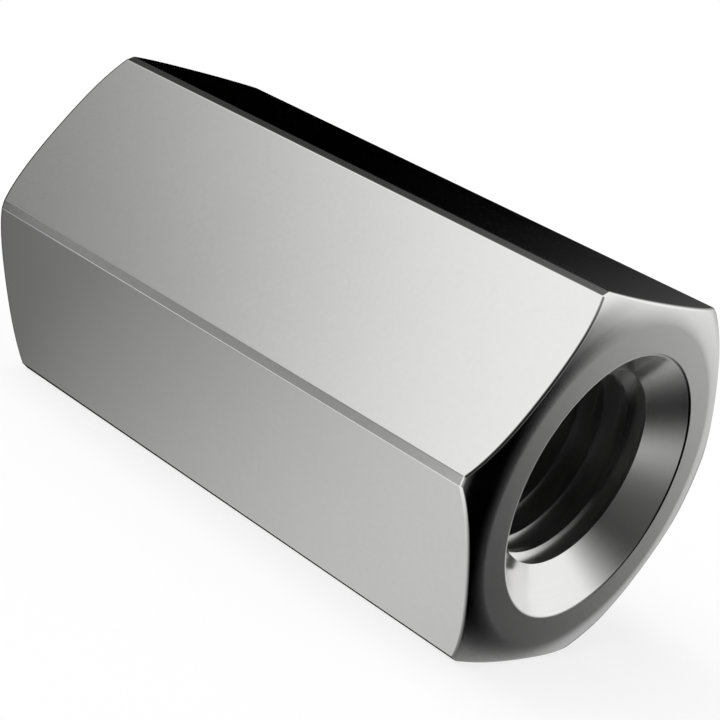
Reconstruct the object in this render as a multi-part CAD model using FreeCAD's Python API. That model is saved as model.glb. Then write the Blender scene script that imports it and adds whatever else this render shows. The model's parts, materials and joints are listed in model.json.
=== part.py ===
import FreeCAD, Part
import math
import os

# Hexagon coupling nut, M8 x 1, that joins two threaded rods end to end.
# Millimetres. +X runs along the thread, +Z is up and the nut lies on a flat, so -Z is the resting side.
# The origin is on the thread's axis, half-way along the nut.

NUT_LENGTH = 24.0               # from end ring to end ring
ACROSS_FLATS = 13.0             # the spanner size
ACROSS_BLUNTED_CORNERS = 14.8   # over the narrow flats that take the point off the six corners

THREAD_DIAMETER = 8.0           # nominal size of the thread
THREAD_PITCH = 1.0
CREST_DEPTH_PER_PITCH = 1.0825  # how far a 60 degree nut thread stands in, on the diameter

END_RING_DIAMETER = 11.6        # flat ring at each end that bears on a washer
END_CROWN_RADIUS = 2.6          # turned curve from the ring out over the corners

COUNTERSINK_DIAMETER = 9.6
COUNTERSINK_ANGLE = 90.0        # included angle of the cone

OUTER_EDGE_RADIUS = 0.14        # rounding of every outer edge of the hexagon and its ends
MOUTH_EDGE_RADIUS = 0.15        # rounding of the rim between an end ring and its countersink

# The hole is as wide as the thread's crests leave it.
BORE_DIAMETER = THREAD_DIAMETER - CREST_DEPTH_PER_PITCH * THREAD_PITCH

SIDES = 6
SQUARE_TOLERANCE = 1e-6         # cosine below which a face counts as running along the thread
AXIS = FreeCAD.Vector(1, 0, 0)
ORIGIN = FreeCAD.Vector(0, 0, 0)


def point(along, radius):
    """A place on a turning outline."""
    return FreeCAD.Vector(along, radius, 0)


def corner_arc(centre, radius, start_angle, end_angle):
    """Arc of a turning outline, with its angles counted from +X towards the outside."""
    middle_angle = (start_angle + end_angle) / 2
    on_arc = []
    for degrees in (start_angle, middle_angle, end_angle):
        angle = math.radians(degrees)
        on_arc.append(centre + point(radius * math.cos(angle), radius * math.sin(angle)))
    return Part.Arc(*on_arc).toShape()


def turned(right_half):
    """Solid turned about X. Its outline is the right half, which ends on the axis, and its mirror image."""
    left_half = [edge.mirror(ORIGIN, AXIS) for edge in right_half]
    half_length = max(edge.BoundBox.XMax for edge in right_half)
    along_axis = Part.makeLine(point(-half_length, 0), point(half_length, 0))
    outline = Part.__sortEdges__(right_half + left_half + [along_axis])
    return Part.Face(Part.Wire(outline)).revolve(ORIGIN, AXIS, 360)


def hexagonal_bar(across_flats, first_flat_angle):
    """Six-sided bar along X, with the angle of its first flat counted from +Y towards +Z."""
    corner_radius = across_flats / 2 / math.cos(math.pi / SIDES)
    corners = []
    for side in range(SIDES + 1):
        angle = math.radians(first_flat_angle) + (side + 0.5) * 2 * math.pi / SIDES
        y = corner_radius * math.cos(angle)
        z = corner_radius * math.sin(angle)
        corners.append(FreeCAD.Vector(-NUT_LENGTH / 2, y, z))
    section = Part.Face(Part.makePolygon(corners))
    return section.extrude(AXIS * NUT_LENGTH)


def crowned_blank():
    """Round blank with a flat ring at each end and a curve from there outwards."""
    end = NUT_LENGTH / 2
    ring = END_RING_DIAMETER / 2
    crown_centre = point(end - END_CROWN_RADIUS, ring)
    outside = ring + END_CROWN_RADIUS
    return turned([
        Part.makeLine(point(0, outside), point(crown_centre.x, outside)),
        corner_arc(crown_centre, END_CROWN_RADIUS, 90, 0),
        Part.makeLine(point(end, ring), point(end, 0)),
    ])


def countersunk_bore():
    """What is cut away: the hole through the nut, with a cone and a rounded rim at each mouth."""
    end = NUT_LENGTH / 2
    bore = BORE_DIAMETER / 2
    mouth = COUNTERSINK_DIAMETER / 2
    cone_angle = COUNTERSINK_ANGLE / 2
    cone_foot = end - (mouth - bore) / math.tan(math.radians(cone_angle))
    turn_at_rim = 90 - cone_angle
    rim_reach = MOUTH_EDGE_RADIUS * math.tan(math.radians(turn_at_rim / 2))
    rim_centre = point(end - MOUTH_EDGE_RADIUS, mouth + rim_reach)
    rim = corner_arc(rim_centre, MOUTH_EDGE_RADIUS, -turn_at_rim, 0)
    rim_on_cone = rim.Vertexes[0].Point
    past_end = end + MOUTH_EDGE_RADIUS
    return turned([
        Part.makeLine(point(0, bore), point(cone_foot, bore)),
        Part.makeLine(point(cone_foot, bore), rim_on_cone),
        rim,
        Part.makeLine(point(end, rim_centre.y), point(past_end, rim_centre.y)),
        Part.makeLine(point(past_end, rim_centre.y), point(past_end, 0)),
    ])


def runs_along_thread(face):
    """Whether a face is a flat or a blunted corner, and not an end ring or a crown."""
    return isinstance(face.Surface, Part.Plane) and abs(face.Surface.Axis.dot(AXIS)) < SQUARE_TOLERANCE


def round_outer_edges(body):
    """Round every edge of the flats and of the blunted corners."""
    sides = [face for face in body.Faces if runs_along_thread(face)]
    return body.makeFillet(OUTER_EDGE_RADIUS, Part.Compound(sides).Edges)


def coupling_nut():
    flat_on_top = 90
    bar = hexagonal_bar(ACROSS_FLATS, flat_on_top)
    corner_cut = hexagonal_bar(ACROSS_BLUNTED_CORNERS, flat_on_top + 180 / SIDES)
    body = round_outer_edges(bar.common(corner_cut).common(crowned_blank()))
    return body.cut(countersunk_bore())


os.makedirs("parts", exist_ok=True)
coupling_nut().exportStep("parts/coupling_nut.step")
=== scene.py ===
"""Looks of the coupling nut: its real thread, bright steel finishes, white studio and camera.

The mesh code works in millimetres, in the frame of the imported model: +X along the thread, +Z up.
"""

import json
import math

import bpy
import numpy as np
from mathutils import Matrix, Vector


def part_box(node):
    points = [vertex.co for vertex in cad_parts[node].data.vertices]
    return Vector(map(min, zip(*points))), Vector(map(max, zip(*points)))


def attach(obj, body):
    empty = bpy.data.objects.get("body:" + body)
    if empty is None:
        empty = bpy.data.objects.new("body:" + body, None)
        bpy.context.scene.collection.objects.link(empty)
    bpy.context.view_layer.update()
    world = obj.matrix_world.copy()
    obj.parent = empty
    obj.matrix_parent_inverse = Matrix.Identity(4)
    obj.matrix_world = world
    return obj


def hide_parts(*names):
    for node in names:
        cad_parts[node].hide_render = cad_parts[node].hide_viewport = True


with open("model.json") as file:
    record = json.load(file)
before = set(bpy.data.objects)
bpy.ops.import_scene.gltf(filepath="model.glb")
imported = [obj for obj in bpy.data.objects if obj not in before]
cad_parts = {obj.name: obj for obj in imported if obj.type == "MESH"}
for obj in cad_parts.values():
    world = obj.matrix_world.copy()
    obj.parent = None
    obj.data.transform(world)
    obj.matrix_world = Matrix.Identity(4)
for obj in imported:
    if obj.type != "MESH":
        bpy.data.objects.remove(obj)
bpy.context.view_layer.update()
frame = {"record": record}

thread_mount = next(mount for mount in frame["record"]["mounts"] if mount["name"] == "thread")

MM = 0.001                     # metres in a millimetre
BOX_DECIMALS = 4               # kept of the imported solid's sizes in millimetres

# The nut, as large as the solid that this piece replaces
LOWEST, HIGHEST = (np.round(np.array(corner) / MM, BOX_DECIMALS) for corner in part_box("coupling_nut"))
NUT_LENGTH, ACROSS_BLUNTED_CORNERS, ACROSS_FLATS = HIGHEST - LOWEST
HALF_LENGTH = NUT_LENGTH / 2
SIDES = 12                     # six flats and, between them, six narrow ones at the blunted corners
FIRST_FLAT_ANGLE = 90          # degrees from +Y towards +Z
END_RING_RADIUS = 5.8
END_CROWN_RADIUS = 2.6
OUTER_EDGE_RADIUS = 0.14
MOUTH_EDGE_RADIUS = 0.15

# The thread: M8 x 1, right-handed
THREAD_PITCH = 1.0
THREAD_ROOT_RADIUS = 4.0
THREAD_CREST_RADIUS = thread_mount["dims"]["r_mm"]
CREST_WIDTH = THREAD_PITCH / 4
ROOT_WIDTH = THREAD_PITCH / 8
THREAD_START = -0.009          # where a crest begins along X, at the angle 0 from +Y

# The countersinks take up what the thread leaves of the nut's length.
CONE_ANGLE = math.radians(45)  # between the cone and the thread's axis
CONE_DEPTH = (NUT_LENGTH - thread_mount["dims"]["length_mm"]) / 2
MOUTH_RADIUS = THREAD_CREST_RADIUS + CONE_DEPTH * math.tan(CONE_ANGLE)

# How finely the mesh follows the shape
COLUMNS_PER_FLAT = 32
COLUMNS_PER_BLUNTED_CORNER = 3
COLUMNS_PER_EDGE = 4
ROWS_PER_EDGE = 5
ROWS_PER_CROWN = 14
ROWS_PER_RIM = 5
SPARE_TURNS = 2                # of thread past each mouth, where they are cut off
WELD = 1e-6                    # a distance that counts as none, within which points are welded

MIRRORED = np.array([-1, 1, 1])

# The finishes, by their place among the nut's materials
DRAWN, TURNED, COUNTERSUNK, TAPPED = range(4)


# The mesh of the nut

def around(along, radius, angle):
    """Points, or normals, from the part along X and the part away from it. Angles go from +Y to +Z."""
    along, radius, angle = np.broadcast_arrays(along, radius, angle)
    return np.stack([along, radius * np.cos(angle), radius * np.sin(angle)], -1)


def columns():
    """Columns of the mesh round the nut.

    Each has its angle, how far out the centre of the edge's rounding is, and the angle of its side.
    """
    turn = 2 * math.pi / SIDES
    flat = ACROSS_FLATS / 2 - OUTER_EDGE_RADIUS
    blunted_corner = ACROSS_BLUNTED_CORNERS / 2 - OUTER_EDGE_RADIUS
    made = []
    for side in range(SIDES):
        if side % 2 == 0:
            reach, neighbour, count = flat, blunted_corner, COLUMNS_PER_FLAT
        else:
            reach, neighbour, count = blunted_corner, flat, COLUMNS_PER_BLUNTED_CORNER
        normal = math.radians(FIRST_FLAT_ANGLE + side * 360 / SIDES)
        # Half of what the side takes up of the way round
        half_angle = math.atan2(neighbour - reach * math.cos(turn), reach * math.sin(turn))
        for offset in np.linspace(-half_angle, half_angle, count + 1):
            made.append((normal + offset, reach / math.cos(offset), normal))
        edge = normal + half_angle
        for step in range(1, COLUMNS_PER_EDGE):
            made.append((edge, reach / math.cos(half_angle), normal + turn * step / COLUMNS_PER_EDGE))
    angle, radius, normal = made[0]
    made.append((angle + 2 * math.pi, radius, normal + 2 * math.pi))
    return np.array(made).T


def turned_towards(start, end, share):
    """Unit vectors part of the way from start to end, along the great circle."""
    angle = np.arccos(np.clip((start * end).sum(-1, keepdims=True), -1, 1))
    return (np.sin((1 - share) * angle) * start + np.sin(share * angle) * end) / np.sin(angle)


def right_end(angle, reach, side_angle):
    """Rows of points and normals of the right end, and the finish between each two rows.

    They go from the sides over the rounded edge, the crown and the flat ring to the mouth's rim.
    """
    core_radius = END_CROWN_RADIUS - OUTER_EDGE_RADIUS
    crown_centre = HALF_LENGTH - END_CROWN_RADIUS
    tilt = np.arcsin((reach - END_RING_RADIUS) / core_radius)
    # The centres of the rounding between the sides and the crown
    core = around(crown_centre + core_radius * np.cos(tilt), reach, angle)
    side_normal = around(0, 1, side_angle)
    crown_normal = around(np.cos(tilt), np.sin(tilt), angle)
    points, normals = [], []
    for share in np.linspace(0, 1, ROWS_PER_EDGE + 1):
        normal = turned_towards(side_normal, crown_normal, share)
        points.append(core + OUTER_EDGE_RADIUS * normal)
        normals.append(normal)
    for share in np.linspace(1, 0, ROWS_PER_CROWN + 1)[1:]:
        leaning = around(np.cos(tilt * share), np.sin(tilt * share), angle)
        points.append(around(crown_centre, END_RING_RADIUS, angle) + END_CROWN_RADIUS * leaning)
        normals.append(leaning)
    rim_x = HALF_LENGTH - MOUTH_EDGE_RADIUS
    rim_radius = MOUTH_RADIUS + MOUTH_EDGE_RADIUS * math.tan(CONE_ANGLE / 2)
    for lean in np.linspace(0, -CONE_ANGLE, ROWS_PER_RIM + 1):
        leaning = around(math.cos(lean), math.sin(lean), angle)
        points.append(around(rim_x, rim_radius, angle) + MOUTH_EDGE_RADIUS * leaning)
        normals.append(leaning)
    finishes = [DRAWN] * ROWS_PER_EDGE + [TURNED] * (len(points) - 1 - ROWS_PER_EDGE)
    return np.array(points), np.array(normals), np.array(finishes)[:, None]


def thread_outline():
    """Points of one pitch of the thread, each with its place along the axis, radius and slope.

    The edges are sharp, so every corner is there twice, once with the slope on each side.
    """
    run = (THREAD_PITCH - CREST_WIDTH - ROOT_WIDTH) / 2
    flank = math.atan2(THREAD_ROOT_RADIUS - THREAD_CREST_RADIUS, run)
    root = CREST_WIDTH + run
    return [
        (0, THREAD_CREST_RADIUS, -flank),
        (0, THREAD_CREST_RADIUS, 0),
        (CREST_WIDTH, THREAD_CREST_RADIUS, 0),
        (CREST_WIDTH, THREAD_CREST_RADIUS, flank),
        (root, THREAD_ROOT_RADIUS, flank),
        (root, THREAD_ROOT_RADIUS, 0),
        (root + ROOT_WIDTH, THREAD_ROOT_RADIUS, 0),
        (root + ROOT_WIDTH, THREAD_ROOT_RADIUS, -flank),
    ]


def thread_rows(angle):
    """Rows of the thread from left to right, as places along X, radii and slopes."""
    crest_start = THREAD_START + THREAD_PITCH * angle / (2 * math.pi)
    turns_each_way = int(HALF_LENGTH / THREAD_PITCH) + SPARE_TURNS
    rows = []
    for turn in range(-turns_each_way - 1, turns_each_way):
        for along, radius, slope in thread_outline():
            place = crest_start + turn * THREAD_PITCH + along
            rows.append(np.broadcast_arrays(place, radius, slope))
    return np.array(rows).swapaxes(0, 1)


def cone(along):
    """Radius of the countersink's cone at the nearer end."""
    return MOUTH_RADIUS - (HALF_LENGTH - np.abs(along)) * math.tan(CONE_ANGLE)


def with_crossings(rows):
    """The rows, with one more between two of them wherever the thread crosses a cone there.

    Before and after the crossing, the row that is added stays with one of the two.
    """
    along, radius, _ = rows
    above = radius - cone(along)
    change = above[:-1] - above[1:]
    share = np.divide(above[:-1], change, out=np.zeros_like(change), where=change != 0).clip(0, 1)
    crossed = ((share > 0) & (share < 1)).any(1)
    crossings = rows[:, :-1] + (rows[:, 1:] - rows[:, :-1]) * share
    return np.insert(rows, 1 + np.flatnonzero(crossed), crossings[:, crossed], axis=1)


def bore(angle):
    """Rows of the threaded hole, from the left mouth to the right one.

    Each has points, normals of the thread, normals of the cones, and how far each point is inside a cone.
    Thread and cones meet in a sharp edge.
    """
    along, radius, slope = with_crossings(thread_rows(angle))
    rim_foot = HALF_LENGTH - MOUTH_EDGE_RADIUS * (1 - math.cos(CONE_ANGLE))
    along = np.clip(along, -rim_foot, rim_foot)
    inside_cone = cone(along) - radius
    radius = np.maximum(radius, cone(along))
    outward, forward = around(0, 1, angle), around(0, 1, angle + math.pi / 2)
    climb = (THREAD_PITCH / (2 * math.pi * radius))[..., None]     # along X for each mm round
    thread_normal = np.tan(slope)[..., None] * (np.array([1, 0, 0]) - climb * forward) - outward
    thread_normal /= np.linalg.norm(thread_normal, axis=-1, keepdims=True)
    cone_normal = around(np.sign(along) * math.sin(CONE_ANGLE), -math.cos(CONE_ANGLE), angle)
    return around(along, radius, angle), thread_normal, cone_normal, inside_cone


def at_corners(rows):
    """The values of the rows at the four corners of each quad between them."""
    return np.stack([rows[:-1, :-1], rows[:-1, 1:], rows[1:, 1:], rows[1:, :-1]], 2)


def nut_quads():
    """Points and normals at the four corners of each quad of the nut, and the quad's finish.

    They go round the nut's section: right end, bore, left end, sides.
    """
    angle, reach, side_angle = columns()
    end_points, end_normals, end_finishes = right_end(angle, reach, side_angle)
    left_points, left_normals = ((rows * MIRRORED)[::-1] for rows in (end_points, end_normals))
    bore_points, thread_normals, cone_normals, inside_cone = (rows[::-1] for rows in bore(angle))
    on_cone = (at_corners(inside_cone) > WELD).any(2)
    bore_normals = np.where(on_cone[..., None, None], at_corners(cone_normals), at_corners(thread_normals))
    side_points = np.stack([left_points[-1], end_points[0]])
    side_normals = np.stack([left_normals[-1], end_normals[0]])
    points, normals, finishes = [], [], []
    for surface_points, surface_normals, finish in (
        (at_corners(end_points), at_corners(end_normals), end_finishes),
        (at_corners(bore_points), bore_normals, np.where(on_cone, COUNTERSUNK, TAPPED)),
        (at_corners(left_points), at_corners(left_normals), end_finishes[::-1]),
        (at_corners(side_points), at_corners(side_normals), DRAWN),
    ):
        points.append(surface_points.reshape(-1, 4, 3))
        normals.append(surface_normals.reshape(-1, 4, 3))
        finishes.append(np.broadcast_to(finish, surface_points.shape[:2]).ravel())
    return np.concatenate(points), np.concatenate(normals), np.concatenate(finishes)


def nut_mesh(name):
    """The nut as one closed mesh, with the true normals of its surfaces."""
    quad_points, quad_normals, quad_finishes = nut_quads()
    points = quad_points.reshape(-1, 3)
    cells = np.round(points / WELD).astype(np.int64)
    _, kept, place = np.unique(cells, axis=0, return_index=True, return_inverse=True)
    quads = place.reshape(-1, 4)
    repeated = quads == np.roll(quads, 1, axis=1)
    faces, normals, finishes = [], [], []
    for quad, drop, corner_normals, finish in zip(quads, repeated, quad_normals, quad_finishes):
        corners = quad[~drop].tolist()
        if len(set(corners)) == len(corners) >= 3:
            faces.append(corners)
            normals.extend(corner_normals[~drop].tolist())
            finishes.append(finish)
    mesh = bpy.data.meshes.new(name)
    mesh.from_pydata((points[kept] * MM).tolist(), [], faces)
    mesh.polygons.foreach_set("use_smooth", np.ones(len(faces), bool))
    mesh.polygons.foreach_set("material_index", np.array(finishes, np.int32))
    mesh.normals_split_custom_set(normals)
    mesh.validate()
    return mesh


# Materials

GRAINS_PER_MM = 4.5
RINGS_PER_MM = 12
CLOUDS_PER_MM = 0.35
GRAIN_DETAIL = 3.0             # layers of finer noise in the grain
CLOUD_DETAIL = 2.0
NOISE_ROUGHNESS = 0.6
GRAIN_SHARE = 0.6              # share of the grain in the shade, and the clouds have the rest
SHADES = (0.3, 0.7)            # the noise at which the steel is darkest and lightest
DARKER_STEEL = (0.805, 0.803, 0.793, 1)
LIGHTER_STEEL = (0.835, 0.834, 0.826, 1)
ROUGHNESS_SPREAD = 0.02


class Nodes:
    """Short forms for making and joining the nodes of one material or world."""

    def __init__(self, tree):
        self.tree = tree
        tree.nodes.clear()

    def add(self, kind, inputs=(), **settings):
        """A new node, with inputs by name or number that are values or other nodes' outputs."""
        node = self.tree.nodes.new(kind)
        for key, value in settings.items():
            setattr(node, key, value)
        for key, value in dict(inputs).items():
            if isinstance(value, bpy.types.NodeSocket):
                self.tree.links.new(value, node.inputs[key])
            else:
                node.inputs[key].default_value = value
        return node

    def math(self, operation, *values):
        return self.add("ShaderNodeMath", dict(enumerate(values)), operation=operation).outputs[0]

    def range(self, value, low, high, to_low, to_high, interpolation="LINEAR"):
        """The value, with what lies from low to high spread from to_low to to_high."""
        inputs = dict(enumerate((value, low, high, to_low, to_high)))
        return self.add("ShaderNodeMapRange", inputs, interpolation_type=interpolation).outputs[0]

    def noise(self, place, per_mm, detail):
        inputs = {"Vector": place, "Scale": per_mm / MM, "Detail": detail, "Roughness": NOISE_ROUGHNESS}
        return self.add("ShaderNodeTexNoise", inputs).outputs[0]

    def own_place(self):
        """Place on the object, in metres, in its own frame."""
        return self.add("ShaderNodeTexCoord").outputs["Object"]

    def in_ring(self, place):
        """Place along the thread and distance from its axis, where a noise makes rings."""
        part = self.add("ShaderNodeSeparateXYZ", {0: place}).outputs
        squares = [self.math("POWER", part[axis], 2.0) for axis in (1, 2)]
        from_axis = self.math("SQRT", self.math("ADD", *squares))
        return self.add("ShaderNodeCombineXYZ", {0: part[0], 1: from_axis}).outputs[0]


def new_material(name):
    material = bpy.data.materials.new(name)
    material.use_nodes = True
    return material, Nodes(material.node_tree)


def steel(name, roughness, grain_depth, rings=False):
    """Bright steel with a fine grain, even or in rings where a tool went round.

    The depth of the grain is in millimetres.
    """
    material, nodes = new_material(name)
    place = nodes.own_place()
    if rings:
        grain = nodes.noise(nodes.in_ring(place), RINGS_PER_MM, GRAIN_DETAIL)
    else:
        grain = nodes.noise(place, GRAINS_PER_MM, GRAIN_DETAIL)
    cloud = nodes.noise(place, CLOUDS_PER_MM, CLOUD_DETAIL)
    grain_part = nodes.math("MULTIPLY", grain, GRAIN_SHARE)
    cloud_part = nodes.math("MULTIPLY", cloud, 1 - GRAIN_SHARE)
    shade = nodes.range(nodes.math("ADD", grain_part, cloud_part), *SHADES, 0.0, 1.0)
    colour = nodes.add("ShaderNodeValToRGB", {"Fac": shade})
    for element, value in zip(colour.color_ramp.elements, (DARKER_STEEL, LIGHTER_STEEL)):
        element.color = value
    least, most = roughness - ROUGHNESS_SPREAD, roughness + ROUGHNESS_SPREAD
    bump = nodes.add("ShaderNodeBump", {"Height": grain, "Strength": 1.0, "Distance": grain_depth * MM})
    shader = nodes.add("ShaderNodeBsdfPrincipled", {
        "Base Color": colour.outputs[0],
        "Metallic": 1.0,
        "Roughness": nodes.range(shade, 0.0, 1.0, least, most),
        "Normal": bump.outputs[0],
    })
    nodes.add("ShaderNodeOutputMaterial", {"Surface": shader.outputs[0]})
    return material


# Studio. Its places are in metres.

NET_DISTANCE = 3.0
FLOOR_HALF_SIZE = 3.0
WORLD_DIFFUSE = 0.55           # share of the light on the floor that comes from all round
FLOOR_DIFFUSE = 0.24           # share of the floor's white that a shadow can take away
LAMP_TILT = math.radians(30)
LAMP_TURN = math.radians(-30)
LAMP_WIDTH = math.radians(50)
CAMERA_PLACE = np.array([37.982, -51.599, 13.76]) * MM
CAMERA_AZIMUTH = -54.377       # degrees, like the next two
CAMERA_ELEVATION = 12.533
CAMERA_ROLL = 21.27
CAMERA_LENS = 89.285           # millimetres, like the sensor
CAMERA_SENSOR = 36
CAMERA_SEES_FROM, CAMERA_SEES_TO = 0.001, 50


def turned_to(azimuth, elevation, roll, place=None):
    """Matrix of a thing whose Z points out from the nut at these angles, at place or NET_DISTANCE away."""
    azimuth, elevation, roll = (math.radians(angle) for angle in (azimuth, elevation, roll))
    out = np.array([
        math.cos(elevation) * math.cos(azimuth),
        math.cos(elevation) * math.sin(azimuth),
        math.sin(elevation),
    ])
    level = np.array([-math.sin(azimuth), math.cos(azimuth), 0])
    upward = np.cross(out, level)
    matrix = np.eye(4)
    matrix[:3, 0] = math.cos(roll) * level + math.sin(roll) * upward
    matrix[:3, 1] = math.cos(roll) * upward - math.sin(roll) * level
    matrix[:3, 2] = out
    matrix[:3, 3] = out * NET_DISTANCE if place is None else place
    return Matrix(matrix.tolist())


def sheet(name, half_width, half_height):
    """A flat rectangle of the studio, about its own origin."""
    corners = [(x * half_width, y * half_height, 0) for x, y in ((-1, -1), (1, -1), (1, 1), (-1, 1))]
    mesh = bpy.data.meshes.new(name)
    mesh.from_pydata(corners, [], [(0, 1, 2, 3)])
    thing = bpy.data.objects.new(name, mesh)
    bpy.context.scene.collection.objects.link(thing)
    return thing


def dark_net(name, azimuth, elevation, wide, high, soft, roll=0, darkness=1.0):
    """A dark net far from the nut that only its reflections see, with all angles in degrees.

    It reaches wide and high to each side of its middle, and its edge fades out over soft to each side.
    """
    angles = (math.radians(angle) for angle in (wide, high, soft))
    half_width, half_height, fade = (math.tan(angle) * NET_DISTANCE for angle in angles)
    thing = sheet(name, half_width + fade, half_height + fade)
    thing.matrix_world = turned_to(azimuth, elevation, roll)
    thing.visible_camera = thing.visible_diffuse = thing.visible_shadow = False
    thing.visible_transmission = thing.visible_volume_scatter = False
    material, nodes = new_material(name)
    part = nodes.add("ShaderNodeSeparateXYZ", {0: nodes.own_place()}).outputs
    shares = []
    for axis, half in ((0, half_width), (1, half_height)):
        distance = nodes.math("ABSOLUTE", part[axis])
        shares.append(nodes.range(distance, half - fade, half + fade, 1.0, 0.0, "SMOOTHSTEP"))
    cover = nodes.math("MULTIPLY", nodes.math("MULTIPLY", *shares), darkness)
    clear = nodes.math("SUBTRACT", 1.0, cover)
    colour = nodes.add("ShaderNodeCombineXYZ", {axis: clear for axis in range(3)}).outputs[0]
    shader = nodes.add("ShaderNodeBsdfTransparent", {"Color": colour})
    nodes.add("ShaderNodeOutputMaterial", {"Surface": shader.outputs[0]})
    thing.data.materials.append(material)


def hang_nets():
    """The nets that shade the nut in its white studio, each named after what its reflection darkens."""
    dark_net("net_top_flat", 139, 14, wide=38, high=51, soft=34)
    dark_net("net_top_flat_foot", 163, -13, wide=55, high=36, soft=7, roll=15)
    dark_net("net_front_flat", -171, 9, wide=38, high=32, soft=18, roll=-5, darkness=0.8)
    dark_net("net_front_corner", -125, -4, wide=11, high=16, soft=9, roll=-25, darkness=0.75)
    dark_net("net_lower_flat", -161, -43, wide=23, high=10, soft=15, roll=20, darkness=0.85)
    dark_net("net_crown", 17, -19, wide=39, high=43, soft=28, roll=30)
    dark_net("net_ring", 38, -21, wide=22, high=22, soft=10, roll=40, darkness=0.8)
    dark_net("net_ring_foot", 80, -34, wide=30, high=34, soft=35, roll=50, darkness=0.65)
    dark_net("net_cone_side", -44, 25, wide=42, high=46, soft=38, roll=-40)
    dark_net("net_cone_top", 37, -77, wide=31, high=36, soft=22, roll=50, darkness=0.8)


def seen_directly(nodes):
    """1 for what the camera sees, also by way of metal or glass."""
    path = nodes.add("ShaderNodeLightPath").outputs
    by_way_of_object = nodes.math("MAXIMUM", path["Is Glossy Ray"], path["Is Transmission Ray"])
    return nodes.math("MAXIMUM", path["Is Camera Ray"], by_way_of_object)


def make_world():
    """White all round, and dimmer for the light that it gives to the floor."""
    world = bpy.data.worlds.new("studio")
    bpy.context.scene.world = world
    world.use_nodes = True
    world.cycles.sampling_method = "NONE"
    nodes = Nodes(world.node_tree)
    strength = nodes.range(seen_directly(nodes), 0.0, 1.0, WORLD_DIFFUSE, 1.0)
    background = nodes.add("ShaderNodeBackground", {"Color": (1, 1, 1, 1), "Strength": strength})
    nodes.add("ShaderNodeOutputWorld", {"Surface": background.outputs[0]})


def make_floor(height):
    """White floor that takes a pale shadow. Reflections look past it, and see white from below too."""
    thing = sheet("floor", FLOOR_HALF_SIZE, FLOOR_HALF_SIZE)
    thing.location.z = height
    thing.visible_glossy = False
    material, nodes = new_material("floor")
    own_colour = (FLOOR_DIFFUSE, FLOOR_DIFFUSE, FLOOR_DIFFUSE, 1)
    own = nodes.add("ShaderNodeBsdfDiffuse", {"Color": own_colour})
    glow = nodes.math("MULTIPLY", seen_directly(nodes), 1 - FLOOR_DIFFUSE)
    white = nodes.add("ShaderNodeEmission", {"Color": (1, 1, 1, 1), "Strength": glow})
    both = nodes.add("ShaderNodeAddShader", {0: own.outputs[0], 1: white.outputs[0]})
    nodes.add("ShaderNodeOutputMaterial", {"Surface": both.outputs[0]})
    thing.data.materials.append(material)


def make_lamp():
    """Soft lamp that gives the floor the rest of its light."""
    lamp = bpy.data.lights.new("key", "SUN")
    lamp.energy = (1 - WORLD_DIFFUSE) * math.pi / math.cos(LAMP_TILT)
    lamp.angle = LAMP_WIDTH
    thing = bpy.data.objects.new("key", lamp)
    bpy.context.scene.collection.objects.link(thing)
    thing.rotation_euler = (LAMP_TILT, 0, LAMP_TURN)
    thing.visible_glossy = False


def make_camera():
    data = bpy.data.cameras.new("camera")
    data.sensor_width = CAMERA_SENSOR
    data.lens = CAMERA_LENS
    data.clip_start, data.clip_end = CAMERA_SEES_FROM, CAMERA_SEES_TO
    thing = bpy.data.objects.new("camera", data)
    bpy.context.scene.collection.objects.link(thing)
    thing.matrix_world = turned_to(CAMERA_AZIMUTH, CAMERA_ELEVATION, CAMERA_ROLL, CAMERA_PLACE)
    bpy.context.scene.camera = thing


def make_nut():
    """The nut with its thread. Its materials are in the order of the finishes' numbers."""
    nut = bpy.data.objects.new("threaded_nut", nut_mesh("threaded_nut"))
    bpy.context.scene.collection.objects.link(nut)
    for finish in (
        steel("drawn_steel", roughness=0.1, grain_depth=0.0003),
        steel("turned_steel", roughness=0.13, grain_depth=0.0002, rings=True),
        steel("countersunk_steel", roughness=0.18, grain_depth=0.0002, rings=True),
        steel("tapped_steel", roughness=0.21, grain_depth=0.0004, rings=True),
    ):
        nut.data.materials.append(finish)
    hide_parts("coupling_nut")
    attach(nut, "root")


bpy.context.scene.view_settings.view_transform = "Standard"

make_nut()
make_world()
make_floor(LOWEST[2] * MM)
make_lamp()
make_camera()
hang_nets()
